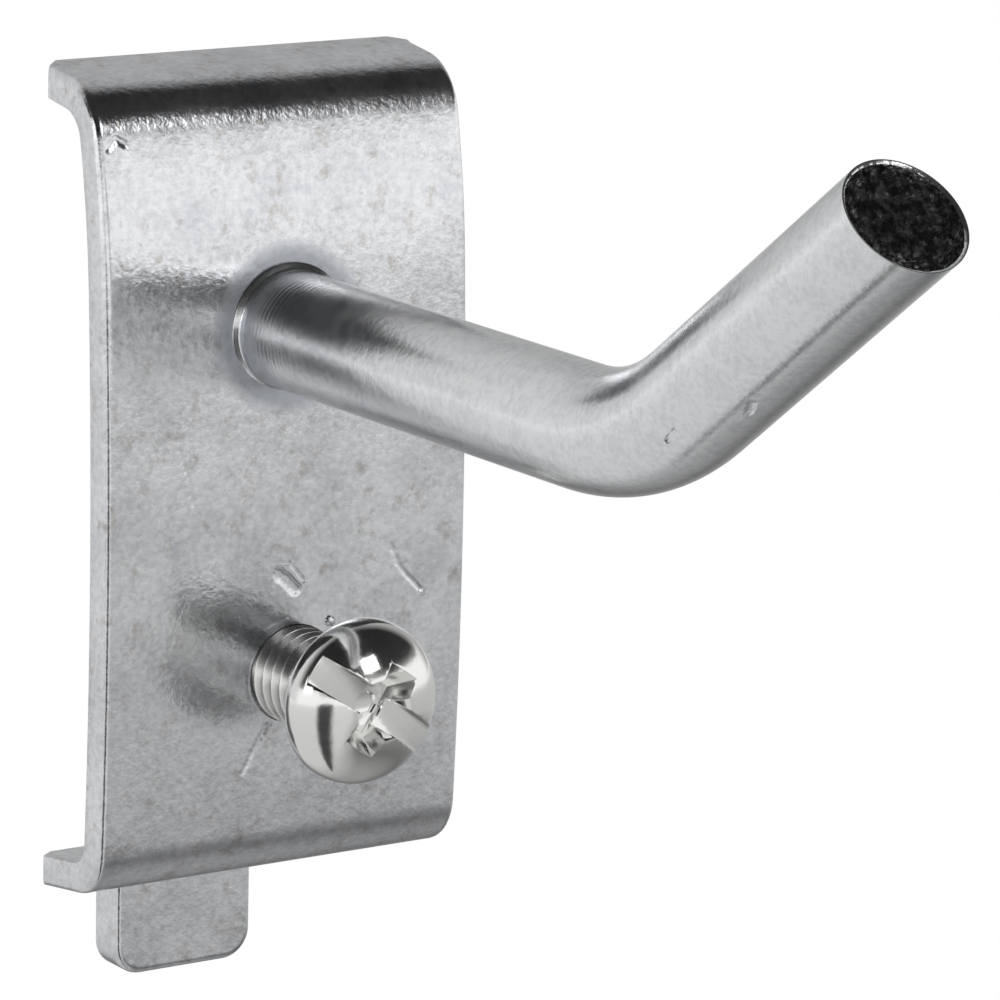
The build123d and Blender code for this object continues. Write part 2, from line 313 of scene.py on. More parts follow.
class SheetPath:
    """Follows the outside of the bent sheet in the YZ plane, and takes the selected row along."""

    def __init__(self, y, z, heading):
        self.y = y
        self.z = z
        self.heading = heading

    def run(self, distance, steps):
        """Goes straight on in equal steps."""
        move = (0, distance / steps * math.cos(self.heading), distance / steps * math.sin(self.heading))
        for _ in range(steps):
            draw_out(move)
        self.y += steps * move[1]
        self.z += steps * move[2]

    def bend(self, radius, turn, steps):
        """Turns towards the panel on a radius."""
        centre_y = self.y + radius * math.sin(self.heading)
        centre_z = self.z - radius * math.cos(self.heading)
        bpy.ops.mesh.spin(steps=steps, angle=turn, center=(0, centre_y, centre_z), axis=(1, 0, 0))
        self.heading -= turn
        self.y = centre_y - radius * math.sin(self.heading)
        self.z = centre_z + radius * math.cos(self.heading)


# Into how many columns and rows the sheet is divided
PLATE_COLUMNS = 44
FLANGE_ROWS = 8
BEND_ROWS = 12
FACE_ROWS = 58
CROWN_ROWS = 14


def bent_surface(sizes):
    """Draws the plate's outside from the edge of the lower flange to that of the upper one."""
    run = sizes.lower_flange
    lie = Vector((0, -math.cos(sizes.splay), math.sin(sizes.splay)))
    start = Vector((0, 0, -sizes.pitch))
    front = start + lie * run
    bpy.ops.object.select_all(action="DESELECT")
    bpy.ops.mesh.primitive_grid_add(
        x_subdivisions=PLATE_COLUMNS, y_subdivisions=FLANGE_ROWS, size=1.0,
        location=start + lie * run / 2, rotation=(-sizes.splay, 0, 0))
    # a grid takes no scale as it is added
    bpy.context.object.scale = (sizes.width, run, 1)
    plate = begin("pressed_plate")
    pick(plate, "EDGE", lambda e: abs(middle(e).y - front.y) < NEAR)
    path = SheetPath(front.y, front.z, math.pi - sizes.splay)
    bow_half = math.asin(sizes.bow_height / (2 * sizes.bow_radius))
    path.bend(sizes.lower_bend, math.pi / 2 - sizes.splay - bow_half, BEND_ROWS)
    path.bend(sizes.bow_radius, 2 * bow_half, FACE_ROWS)
    path.bend(sizes.crown_radius, sizes.crown_lean - bow_half, CROWN_ROWS)
    path.bend(sizes.upper_bend, math.pi / 2 - sizes.crown_lean - sizes.splay, BEND_ROWS)
    path.run(-path.y / math.cos(path.heading), FLANGE_ROWS)
    bpy.ops.mesh.select_all(action="SELECT")
    bpy.ops.mesh.remove_doubles(threshold=DOUBLE)
    # the face has to look forward, because the sheet gets its thickness behind it
    mesh = bmesh.from_edit_mesh(plate.data)
    facing = [f.normal.y for f in mesh.faces if abs(middle(f).z + sizes.pitch / 2) < MM]
    if sum(facing) > 0:
        bpy.ops.mesh.flip_normals()
    return plate


# Headings, in degrees, of the flats that cut each rear corner of the flanges round
CORNER_FLATS = (12, 30, 50, 72)


def fold_in_edges(plate, sizes):
    """Gives the sheet its thickness, cuts the flanges' corners and rolls the arrises over."""
    leave()
    apply_modifier(plate, "SOLIDIFY", thickness=sizes.sheet, offset=-1, use_even_offset=True)
    bpy.ops.object.mode_set(mode="EDIT")
    saw_off((0, 0, 0), (0, 1, 0))
    wide, deep = sizes.corner_width, sizes.corner_depth
    for hand in (-1, 1):
        for heading in CORNER_FLATS:
            out, back = math.cos(math.radians(heading)), math.sin(math.radians(heading))
            saw_off((hand * (sizes.width / 2 - wide + wide * out), deep * back - deep, 0),
                    (hand * out / wide, back / deep, 0))
    close_up()
    side = sizes.width / 2 - DOUBLE

    def along_side(edge):
        return all(abs(v.co.x) > side for v in edge.verts) and edge.calc_face_angle(0) > 1.0 \
            and min(v.co.y for v in edge.verts) < -deep

    def is_outside(edge):
        inner = Vector((0, -sizes.sheet, -sizes.pitch / 2))
        sheet_face = next(f for f in edge.link_faces if abs(f.normal.x) < 0.5)
        return sheet_face.normal.dot(middle(edge) - inner) > 0

    pick(plate, "EDGE", lambda e: along_side(e) and not is_outside(e))
    bpy.ops.mesh.mark_seam(clear=False)
    pick(plate, "EDGE", lambda e: along_side(e) and is_outside(e))
    bpy.ops.mesh.bevel(offset=sizes.rolled_edge, segments=5, affect="EDGES")
    pick(plate, "EDGE", lambda e: e.seam)
    bpy.ops.mesh.bevel(offset=sizes.burr_edge, segments=2, affect="EDGES")
    close_up()


# How far beyond a mark the surface is divided as finely
MARK_BORDER = 0.35 * MM


def distance_from(points, place):
    """Gives the distance of a place from a line through points."""
    if len(points) == 1:
        return (place - points[0]).length
    nearest = []
    for start, stop in zip(points, points[1:]):
        share = (place - start).dot(stop - start) / (stop - start).length_squared
        nearest.append((place - start - min(max(share, 0), 1) * (stop - start)).length)
    return min(nearest)


def press_mark(obj, places, reach, move, raised=False):
    """Divides the surface along a line and pushes it in there, or out where it is raised."""
    points = [Vector(place) * MM for place in places]
    reach *= MM
    move = Vector(move) * MM
    inward = -1 if raised else 1

    def near(part, place, limit):
        return part.normal.dot(move) * inward < -0.4 * move.length \
            and distance_from(points, place) < limit

    pick(obj, "FACE", lambda f: near(f, middle(f), reach + MARK_BORDER))
    bpy.ops.mesh.subdivide(number_cuts=4)
    pick(obj, "VERT", lambda v: near(v, v.co, reach))
    bpy.ops.transform.translate(value=tuple(move))
    pick(obj, "VERT", lambda v: near(v, v.co, 0.6 * reach))
    bpy.ops.transform.translate(value=tuple(0.5 * move))


# Marks of handling, all in millimetres: the line, its half width, how far it is pushed, and True
# for a raised bead
PLATE_MARKS = (
    (((-0.55, -6.95, -21.45), (0.0, -6.95, -21.9), (0.40, -6.95, -22.3)), 0.34, (0, 0.045, 0)),
    (((-0.75, -6.95, -20.9), (0.1, -6.95, -21.0), (0.85, -6.95, -21.9)), 0.16, (0, 0.03, 0)),
    (((6.12, -6.95, -20.7), (6.5, -6.95, -21.7), (7.2, -6.94, -22.5), (7.9, -6.94, -23.2)),
     0.13, (0, 0.03, 0)),
    (((-1.07, -6.82, -29.24), (-1.9, -6.78, -30.6), (-2.45, -6.74, -31.64)), 0.12, (0, 0.035, 0)),
    (((-6.4, -6.89, -14.5), (-5.9, -6.91, -16.0), (-5.6, -6.92, -17.4)), 0.09, (0, 0.018, 0)),
    (((-9.95, -5.72, 0.65), (-9.5, -5.62, 1.1), (-8.95, -5.70, 0.75)), 0.18, (0, 0.03, -0.01)),
    (((8.0, -6.94, -23.3),), 0.24, (0, 0.04, 0)),
    (((2.50, -6.93, -24.25),), 0.24, (0, -0.10, 0.02), True),
)
BAR_MARKS = (
    (((-2.40, -42.66, -7.53), (-2.55, -43.3, -7.0)), 0.16, (0.05, 0.03, 0.03)),
    (((-1.16, -46.98, -5.55), (-1.4, -47.5, -5.0)), 0.20, (0.04, 0.04, 0.05)),
    (((-2.80, -44.6, -6.0),), 0.14, (0.06, 0.02, 0.02)),
)


# Room between the plate and what passes its holes
HOLE_ROOM = 0.05 * MM


class HOOK_OT_plate(bpy.types.Operator):
    """Bends the pressed plate from one row of sheet."""

    bl_idname = "hook.plate"
    bl_label = "Press the plate"

    def execute(self, context):
        sizes = context.scene.hook_plate
        screw = context.scene.hook_screw
        bar = context.scene.hook_bar
        plate = bent_surface(sizes)
        fold_in_edges(plate, sizes)
        leave()
        reach = 4 * sizes.sheet
        for x, z, width in ((0, BAR_Z, bar.rivet), (SCREW_X, SCREW_Z, screw.thread)):
            bpy.ops.object.select_all(action="DESELECT")
            bpy.ops.mesh.primitive_cylinder_add(
                vertices=64, radius=width / 2 + HOLE_ROOM, depth=2 * reach,
                location=(x, -reach, z), rotation=(math.pi / 2, 0, 0))
            combine(plate, context.object, "DIFFERENCE")
        bpy.ops.object.select_all(action="DESELECT")
        bpy.ops.mesh.primitive_cube_add(
            size=1.0, location=(0, 0, -sizes.pitch),
            scale=(sizes.notch_width, 2 * sizes.notch_depth, 3 * sizes.sheet))
        combine(plate, context.object, "DIFFERENCE")
        bpy.context.view_layer.objects.active = plate
        bpy.ops.object.mode_set(mode="EDIT")
        for mark in PLATE_MARKS:
            press_mark(plate, *mark)
        leave()
        smooth(plate, 32)
        stand_for(plate, "base_plate", "hook")
        return {"FINISHED"}


# Into how many sides and lengths the bar is divided
BAR_SIDES = 96
STRAIGHT_LENGTHS = 24
KNEE_LENGTHS = 28


def root_rows(sizes, seat, face_y):
    """Lists radius and Y from the riveted head's flat back to the plain bar before the collar."""
    radius, head, collar = sizes.diameter / 2, sizes.rivet_head / 2, sizes.collar / 2
    return [
        (head - 0.50 * MM, seat + RIVET_HEAD_HEIGHT),
        (head - 0.19 * MM, seat + 0.93 * MM),
        (head, seat + 0.50 * MM),
        (head - 0.02 * MM, seat - SEATED),
        (sizes.rivet / 2, seat - SEATED),
        (sizes.rivet / 2, face_y + SEATED),
        (collar - 0.22 * MM, face_y + SEATED),
        (collar, face_y),
        (collar - 0.04 * MM, face_y - 0.05 * MM),
        (radius + 0.10 * MM, face_y - 0.10 * MM),
        (radius + 0.02 * MM, face_y - 0.20 * MM),
        (radius, face_y - sizes.collar_length)]


class HOOK_OT_bar(bpy.types.Operator):
    """Turns, bends and cuts the bar, and rivets its tail over."""

    bl_idname = "hook.bar"
    bl_label = "Bend the bar"

    def execute(self, context):
        sizes = context.scene.hook_bar
        seat = RIVET_BACK - RIVET_HEAD_HEIGHT
        face_y = seat - STRIP - context.scene.hook_plate.sheet
        rows = root_rows(sizes, seat, face_y)
        back_y = rows[0][1]
        bpy.ops.object.select_all(action="DESELECT")
        bpy.ops.mesh.primitive_circle_add(
            vertices=BAR_SIDES, radius=rows[0][0], location=(0, back_y, BAR_Z),
            rotation=(math.pi / 2, 0, 0))
        bar = begin("bar")
        # one slot for the plating and one for the torn end
        for _ in range(2):
            bar.data.materials.append(None)
        for (was, here), (now, there) in zip(rows, rows[1:]):
            draw_out((0, there - here, 0))
            bpy.ops.transform.resize(
                value=(now / was, 1, now / was), center_override=(0, there, BAR_Z))
        tangent = sizes.bend_radius * math.tan(sizes.rise / 2)
        bend_y = face_y - sizes.run + tangent
        for _ in range(STRAIGHT_LENGTHS):
            draw_out((0, (bend_y - rows[-1][1]) / STRAIGHT_LENGTHS, 0))
        bpy.ops.mesh.spin(
            steps=KNEE_LENGTHS, angle=sizes.rise, center=(0, bend_y, BAR_Z + sizes.bend_radius),
            axis=(1, 0, 0))
        along = Vector((0, -math.cos(sizes.rise), math.sin(sizes.rise)))
        # drawn half a diameter too long, and sawn off at the cut's own angle
        for _ in range(STRAIGHT_LENGTHS):
            draw_out(along * (sizes.end_run - tangent + sizes.diameter / 2) / STRAIGHT_LENGTHS)
        end = Vector((0, face_y - sizes.run, BAR_Z)) + along * sizes.end_run
        cut = sizes.rise + sizes.cut_tilt
        face = Vector((0, -math.cos(cut), math.sin(cut)))
        saw_off(end, face)
        pick(bar, "EDGE", lambda e: all(abs(v.co.y - back_y) < NEAR for v in e.verts))
        bpy.ops.mesh.edge_face_add()
        close_up()
        tear_end(bar, end, face)
        divide_back(bar, back_y)
        for mark in BAR_MARKS:
            press_mark(bar, *mark)
        leave()
        smooth(bar, 40)
        stand_for(bar, "hook_rod", "hook")
        return {"FINISHED"}


# The torn end: width of its rim and of the slope inside it, depth and height of its ridges
TORN_RIM = 0.06 * MM
TORN_SLOPE = 0.12 * MM
TORN_DEPTH = 0.10 * MM
TORN_RIDGES = 0.055 * MM


def tear_end(bar, end, face):
    """Sinks the bar's cut end a little inside its rim and tears it into small ridges."""
    def at_depth(place, depth):
        return abs((place - end).dot(face) + depth) < NEAR

    pick(bar, "FACE", lambda f: f.normal.dot(face) > ALONG and at_depth(middle(f), 0))
    bpy.ops.mesh.inset(thickness=TORN_RIM, use_even_offset=False)
    bpy.ops.mesh.inset(thickness=TORN_SLOPE, use_even_offset=False)
    bpy.ops.transform.translate(value=tuple(-TORN_DEPTH * face))
    bpy.ops.mesh.delete(type="ONLY_FACE")
    pick(bar, "EDGE", lambda e: all(at_depth(v.co, TORN_DEPTH) for v in e.verts))
    bpy.ops.mesh.fill_grid(span=BAR_SIDES // 4)
    bpy.ops.mesh.subdivide(number_cuts=1)
    pick(bar, "FACE",
         lambda f: at_depth(middle(f), TORN_DEPTH) and abs(f.normal.dot(face)) > ALONG)
    bar.active_material_index = 1
    bpy.ops.object.material_slot_assign()
    pick(bar, "VERT", lambda v: at_depth(v.co, TORN_DEPTH) and not any(
        f.material_index == 0 for f in v.link_faces))
    bpy.ops.transform.vertex_random(offset=TORN_RIDGES, uniform=0.0, normal=1.0, seed=3)


def divide_back(bar, back_y):
    """Divides the riveted head's flat back into rings, so that only its edge is shaded soft."""
    pick(bar, "FACE", lambda f: f.normal.y > ALONG and abs(middle(f).y - back_y) < NEAR)
    for ring_mm in (0.4, 0.5, 0.6, 0.6):
        bpy.ops.mesh.inset(thickness=ring_mm * MM, use_even_offset=False)
    bpy.ops.mesh.poke()


# Depth of the thread as a share of its pitch, and steps in one of its turns
THREAD_DEPTH = 0.541
THREAD_STEPS = 48


def threaded_shank(sizes):
    """Winds one turn of the thread's profile into the shank and trims it to a chamfered point."""
    rise = sizes.pitch
    crest = sizes.thread / 2
    root = crest - THREAD_DEPTH * rise
    # radius and height of one turn: root, flank, narrow crest, flank, root
    section = [
        (root, 0), (root + 0.02 * MM, 0.08 * rise), (crest - 0.04 * MM, 0.40 * rise),
        (crest, 0.46 * rise), (crest, 0.54 * rise), (crest - 0.04 * MM, 0.60 * rise),
        (root + 0.02 * MM, 0.92 * rise), (root, rise)]
    shank = begin_point("shank", (root, 0, -sizes.shank - 2 * rise))
    draw_through(section)
    leave()
    turns = math.ceil((sizes.shank + sizes.head_side) / rise) + 3
    apply_modifier(
        shank, "SCREW", axis="Z", angle=2 * math.pi, screw_offset=rise, iterations=turns,
        steps=THREAD_STEPS, render_steps=THREAD_STEPS, use_merge_vertices=True)
    bpy.ops.object.mode_set(mode="EDIT")
    close_up()
    saw_off((0, 0, -sizes.shank), (0, 0, -1))
    saw_off((0, 0, sizes.head_side / 2), (0, 0, 1))
    close_up()
    leave()
    # a plain blank just wider than the crests cuts the point's chamfer
    blank_radius = crest + 0.02 * MM
    blank = begin_point("blank", (0, 0, -sizes.shank))
    draw_through([
        (0, -sizes.shank), (blank_radius - sizes.point, -sizes.shank),
        (blank_radius, -sizes.shank + sizes.point), (blank_radius, sizes.head_side),
        (0, sizes.head_side)])
    bpy.ops.mesh.select_all(action="SELECT")
    turn_full(72)
    leave()
    combine(shank, blank, "INTERSECT")
    return shank


# Steps in the dome's outline from its rim to its crown
DOME_STEPS = 18
# How far the punches stand above the crown, and the radii of the middle one's foot and top
PUNCH_ROOM = 0.6 * MM
HUB_FOOT = 0.55 * MM
HUB_TOP = 2.3 * MM


def head_points(sizes):
    """Lists the head's outline from its bearing face over its rim to its domed crown."""
    radius, side = sizes.head / 2, sizes.head_side
    points = [(0, 0), (radius - 0.25 * MM, 0), (radius - 0.08 * MM, 0.06 * MM), (radius, 0.2 * MM)]
    for i in range(DOME_STEPS + 1):
        swing = math.pi / 2 * i / DOME_STEPS
        points.append((
            radius * math.cos(swing), side + (sizes.head_height - side) * math.sin(swing)))
    return points


def screw_head(sizes):
    """Turns the head and cuts its slot and its cross recess."""
    head = begin_point("screw", (0, 0, 0))
    draw_through(head_points(sizes))
    bpy.ops.mesh.select_all(action="SELECT")
    turn_full(96)
    leave()
    top = sizes.head_height
    slot = (2 * sizes.head, sizes.slot_width)
    cross = (sizes.cross_width, sizes.cross_span)
    combine(head, punch(slot, top, sizes.slot_depth, (1.0, 0.94)), "DIFFERENCE")
    combine(head, punch(cross, top, 0.9 * sizes.cross_depth, (0.62, 0.45)), "DIFFERENCE")
    combine(head, hub_punch(top, sizes.cross_depth), "DIFFERENCE")
    apply_modifier(head, "BEVEL", width=0.06 * MM, segments=2, limit_method="ANGLE",
                   angle_limit=math.radians(38))
    return head


def punch(size, top, depth, narrowed):
    """Makes a square punch whose foot is narrowed to a share of its size."""
    bpy.ops.object.select_all(action="DESELECT")
    bpy.ops.mesh.primitive_cube_add(
        size=1.0, location=(0, 0, top + PUNCH_ROOM / 2 - depth / 2), scale=(*size, depth + PUNCH_ROOM))
    tool = begin("punch")
    pick(tool, "FACE", lambda f: f.normal.z < -ALONG)
    bpy.ops.transform.resize(value=(*narrowed, 1), center_override=(0, 0, top - depth))
    leave()
    return tool


def hub_punch(top, depth):
    """Makes the tapered eight-sided punch at the middle of the cross."""
    height = depth + MM
    bpy.ops.object.select_all(action="DESELECT")
    bpy.ops.mesh.primitive_cone_add(
        vertices=8, radius1=HUB_FOOT, radius2=HUB_TOP, depth=height,
        location=(0, 0, top - depth + height / 2), rotation=(0, 0, math.pi / 8))
    tool = begin("punch")
    leave()
    return tool


class HOOK_OT_screw(bpy.types.Operator):
    """Winds the thread, turns the head and cuts its recess."""

    bl_idname = "hook.screw"
    bl_label = "Turn the screw"

    def execute(self, context):
        sizes = context.scene.hook_screw
        shank = threaded_shank(sizes)
        screw = screw_head(sizes)
        combine(screw, shank, "UNION")
        bpy.ops.object.select_all(action="DESELECT")
        screw.select_set(True)
        context.view_layer.objects.active = screw
        place = Matrix.Translation((SCREW_X, SCREW_HIGH.y - sizes.shank, SCREW_Z))
        screw.matrix_world = place @ Matrix.Rotation(math.pi / 2, 4, "X") \
            @ Matrix.Rotation(-sizes.turned_by, 4, "Z")
        bpy.ops.object.transform_apply(location=True, rotation=True, scale=True)
        smooth(screw, 35)
        stand_for(screw, "locking_screw", "screw")
        return {"FINISHED"}


def add_node(tree, kind, inputs=None, greys=(), **settings):
    """Adds one node with its settings, a ramp's greys, and its values or links by socket."""
    node = tree.nodes.new(kind)
    for name, value in settings.items():
        setattr(node, name, value)
    for _ in range(len(greys) - 2):
        node.color_ramp.elements.new(1.0)
    for i, (place, level) in enumerate(greys):
        node.color_ramp.elements[i].position = place
        node.color_ramp.elements[i].color = (level, level, level, 1)
    for socket, value in (inputs or {}).items():
        if isinstance(value, bpy.types.NodeSocket):
            tree.links.new(value, node.inputs[socket])
        else:
            node.inputs[socket].default_value = value
    return node


def per(size_mm):
    """Gives the pattern scale at which one feature is that many millimetres wide."""
    return 1000.0 / size_mm


def new_material(name):
    """Starts a material with its principled shader and Object coordinates."""
    material = bpy.data.materials.new(name)
    material.use_nodes = True
    tree = material.node_tree
    tree.nodes.clear()
    output = add_node(tree, "ShaderNodeOutputMaterial")
    shader = add_node(tree, "ShaderNodeBsdfPrincipled")
    tree.links.new(shader.outputs[0], output.inputs[0])
    place = add_node(tree, "ShaderNodeTexCoord").outputs["Object"]
    return material, tree, shader, place


# Patterns count in centimetres where a ramp reads a place, so that its greys lie between 0 and 1
PER_CM = 100.0


def zinc_sheet(finishes):
    """Zinc plated pressed sheet: satin, with fine crystals that glitter and faint dry stains."""
    material, tree, shader, place = new_material("zinc_plated_sheet")
    # the plating's crystals are a few hundredths wide; drawn coarser, so that they show
    grain = add_node(tree, "ShaderNodeTexNoise", {
        "Vector": place, "Scale": per(0.38), "Detail": 3.0, "Roughness": 0.62})
    cloud = add_node(tree, "ShaderNodeTexNoise", {
        "Vector": place, "Scale": per(3.5), "Detail": 5.0, "Roughness": 0.62})
    mottle = add_node(tree, "ShaderNodeMix", {
        0: 0.5, 2: grain.outputs[0], 3: cloud.outputs[0]}, data_type="FLOAT")
    paleness = add_node(tree, "ShaderNodeValToRGB", {0: mottle.outputs[0]},
                        greys=[(0.36, 0.0), (0.60, 1.0)])
    shade = add_node(tree, "ShaderNodeMix", {
        0: paleness.outputs[0], 6: tuple(finishes.zinc_dark), 7: tuple(finishes.zinc_light)},
        data_type="RGBA")
    speck = add_node(tree, "ShaderNodeTexNoise", {
        "Vector": place, "Scale": per(1.1), "Detail": 4.0, "Roughness": 0.7})
    stain = add_node(tree, "ShaderNodeValToRGB", {0: speck.outputs[0]},
                     greys=[(0.55, 0.0), (0.70, 0.5)])
    stained = add_node(tree, "ShaderNodeMix", {
        0: stain.outputs[0], 6: shade.outputs[2], 7: tuple(finishes.stain)}, data_type="RGBA")
    # the riveting left a dull, rougher ring round the bar's root, and the ring's darker grey is painted
    # shade, standing for the bar's shade and reflection on the plate; the ramp reads its radius
    from_root = add_node(tree, "ShaderNodeVectorMath", {
        0: place, 1: (0.0, 0.0, BAR_Z)}, operation="SUBTRACT")
    from_axis = add_node(tree, "ShaderNodeVectorMath", {
        0: from_root.outputs[0], 1: (1.0, 0.0, 1.0)}, operation="MULTIPLY")
    radius = add_node(tree, "ShaderNodeVectorMath", {0: from_axis.outputs[0]}, operation="LENGTH")
    radius_cm = add_node(tree, "ShaderNodeMath", {
        0: radius.outputs["Value"], 1: PER_CM}, operation="MULTIPLY")
    ring = add_node(tree, "ShaderNodeValToRGB", {0: radius_cm.outputs[0]},
                    greys=[(0.37, 0.60), (0.41, 0.36), (0.46, 0.0)]).outputs[0]
    # painted shade: the ring's darker grey is mixed into the plating round the bar's root
    with_painted_shade = add_node(tree, "ShaderNodeMix", {
        0: ring, 6: stained.outputs[2], 7: tuple(finishes.ring)}, data_type="RGBA")
    tree.links.new(with_painted_shade.outputs[2], shader.inputs["Base Color"])
    # the flanks that the shears cut are rougher than the rolled faces
    normal = add_node(tree, "ShaderNodeTexCoord").outputs["Normal"]
    across = add_node(tree, "ShaderNodeSeparateXYZ", {0: normal})
    sideways = add_node(tree, "ShaderNodeMath", {0: across.outputs[0]}, operation="ABSOLUTE")
    flank = add_node(tree, "ShaderNodeValToRGB", {0: sideways.outputs[0]},
                     greys=[(0.80, 0.0), (0.97, 1.0)]).outputs[0]
    satin = add_node(tree, "ShaderNodeValToRGB", {0: cloud.outputs[0]},
                     greys=[(0.3, 0.15), (0.7, 0.23)])
    rough = add_node(tree, "ShaderNodeMath", {
        0: flank, 1: 0.12, 2: satin.outputs[0]}, operation="MULTIPLY_ADD")
    dull = add_node(tree, "ShaderNodeMath", {
        0: ring, 1: 0.4, 2: rough.outputs[0]}, operation="MULTIPLY_ADD")
    tree.links.new(dull.outputs[0], shader.inputs["Roughness"])
    torn = add_node(tree, "ShaderNodeTexNoise", {
        "Vector": place, "Scale": per(0.55), "Detail": 3.0, "Roughness": 0.55})
    cut = add_node(tree, "ShaderNodeMath", {0: torn.outputs[0], 1: flank}, operation="MULTIPLY")
    relief = add_node(tree, "ShaderNodeMath", {
        0: cut.outputs[0], 1: 2.5, 2: grain.outputs[0]}, operation="MULTIPLY_ADD")
    bump = add_node(tree, "ShaderNodeBump", {
        "Strength": 1.0, "Distance": 0.020 * MM, "Height": relief.outputs[0]})
    tree.links.new(bump.outputs[0], shader.inputs["Normal"])
    shader.inputs["Metallic"].default_value = 1.0
    return material


# Width of the rings that the turning tool left at the bar's root, where they end, and the
# radians that the wave pattern counts for each unit of length
TURNED_RING_MM = 0.345
TURNED_END = -12.0 * MM
WAVE_RADIANS = 20.0


def zinc_bar(finishes):
    """Zinc plated drawn bar: smoother than the sheet, with a fine grain and faint clouds."""
    material, tree, shader, place = new_material("zinc_plated_bar")
    # drawn coarser than the real grain, so that it shows
    grain = add_node(tree, "ShaderNodeTexNoise", {
        "Vector": place, "Scale": per(0.35), "Detail": 3.0, "Roughness": 0.62})
    cloud = add_node(tree, "ShaderNodeTexNoise", {
        "Vector": place, "Scale": per(1.6), "Detail": 4.0, "Roughness": 0.6})
    mottle = add_node(tree, "ShaderNodeMix", {
        0: 0.4, 2: grain.outputs[0], 3: cloud.outputs[0]}, data_type="FLOAT")
    paleness = add_node(tree, "ShaderNodeValToRGB", {0: mottle.outputs[0]},
                        greys=[(0.36, 0.0), (0.56, 1.0)])
    shade = add_node(tree, "ShaderNodeMix", {
        0: paleness.outputs[0], 6: tuple(finishes.bar_dark), 7: tuple(finishes.bar_zinc)},
        data_type="RGBA")
    tree.links.new(shade.outputs[2], shader.inputs["Base Color"])
    satin = add_node(tree, "ShaderNodeValToRGB", {0: cloud.outputs[0]},
                     greys=[(0.3, 0.19), (0.7, 0.25)])
    tree.links.new(satin.outputs[0], shader.inputs["Roughness"])
    rings = add_node(tree, "ShaderNodeTexWave", {
        "Vector": place, "Scale": per(TURNED_RING_MM) * 2 * math.pi / WAVE_RADIANS,
        "Distortion": 1.5, "Detail": 2.0}, bands_direction="Y")
    depth = add_node(tree, "ShaderNodeSeparateXYZ", {0: place})
    from_end = add_node(tree, "ShaderNodeMath", {
        0: depth.outputs[1], 1: PER_CM, 2: -PER_CM * TURNED_END}, operation="MULTIPLY_ADD")
    strength = add_node(tree, "ShaderNodeValToRGB", {0: from_end.outputs[0]},
                        greys=[(0.0, 0.0), (0.3, 0.45)])
    turned = add_node(tree, "ShaderNodeMath", {
        0: rings.outputs[1], 1: strength.outputs[0]}, operation="MULTIPLY")
    relief = add_node(tree, "ShaderNodeMath", {0: turned.outputs[0], 1: grain.outputs[0]})
    bump = add_node(tree, "ShaderNodeBump", {
        "Strength": 1.0, "Distance": 0.010 * MM, "Height": relief.outputs[0]})
    tree.links.new(bump.outputs[0], shader.inputs["Normal"])
    shader.inputs["Metallic"].default_value = 1.0
    return material


def torn_steel(finishes):
    """Torn face of a sheared bar: dark, dull steel with slanting tear marks that catch light."""
    material, tree, shader, place = new_material("torn_steel")
    slant = add_node(tree, "ShaderNodeMapping", {
        "Vector": place, "Rotation": (0.0, math.radians(35), 0.0), "Scale": (1.0, 1.0, 0.30)})
    tear = add_node(tree, "ShaderNodeTexNoise", {
        "Vector": slant.outputs[0], "Scale": per(0.45), "Detail": 4.0, "Roughness": 0.65})
    ridge = add_node(tree, "ShaderNodeValToRGB", {0: tear.outputs[0]},
                     greys=[(0.45, 0.0), (0.72, 1.0)])
    shade = add_node(tree, "ShaderNodeMix", {
        0: ridge.outputs[0], 6: tuple(finishes.torn), 7: tuple(finishes.torn_light)},
        data_type="RGBA")
    tree.links.new(shade.outputs[2], shader.inputs["Base Color"])
    bump = add_node(tree, "ShaderNodeBump", {
        "Strength": 1.0, "Distance": 0.08 * MM, "Height": tear.outputs[0]})
    tree.links.new(bump.outputs[0], shader.inputs["Normal"])
    shader.inputs["Metallic"].default_value = 1.0
    shader.inputs["Roughness"].default_value = 0.42
    return material


# Where the screw's dull thread starts, behind its bright head
THREAD_START = SCREW_LOW.y + 3.5 * MM


def bright_screw(finishes):
    """Bright zinc on a cold headed screw: mirror like and a little wavy, duller on the thread."""
    material, tree, shader, place = new_material("bright_zinc_screw")
    wave = add_node(tree, "ShaderNodeTexNoise", {
        "Vector": place, "Scale": per(1.2), "Detail": 3.0, "Roughness": 0.5})
    depth = add_node(tree, "ShaderNodeSeparateXYZ", {0: place})
    from_start = add_node(tree, "ShaderNodeMath", {
        0: depth.outputs[1], 1: PER_CM, 2: -PER_CM * THREAD_START}, operation="MULTIPLY_ADD")
    thread = add_node(tree, "ShaderNodeValToRGB", {0: from_start.outputs[0]},
                      greys=[(0.0, 0.0), (0.03, 0.16)])
    polish = add_node(tree, "ShaderNodeValToRGB", {0: wave.outputs[0]},
                      greys=[(0.3, 0.08), (0.7, 0.16)])
    rough = add_node(tree, "ShaderNodeMath", {0: polish.outputs[0], 1: thread.outputs[0]})
    tree.links.new(rough.outputs[0], shader.inputs["Roughness"])
    bump = add_node(tree, "ShaderNodeBump", {
        "Strength": 0.5, "Distance": 0.03 * MM, "Height": wave.outputs[0]})
    tree.links.new(bump.outputs[0], shader.inputs["Normal"])
    shader.inputs["Base Color"].default_value = tuple(finishes.screw_zinc)
    shader.inputs["Metallic"].default_value = 1.0
    return material


def dress(obj, *materials):
    """Gives a piece its materials, in the order of its faces' slots."""
    while len(obj.data.materials) < len(materials):
        obj.data.materials.append(None)
    for i, material in enumerate(materials):
        obj.data.materials[i] = material


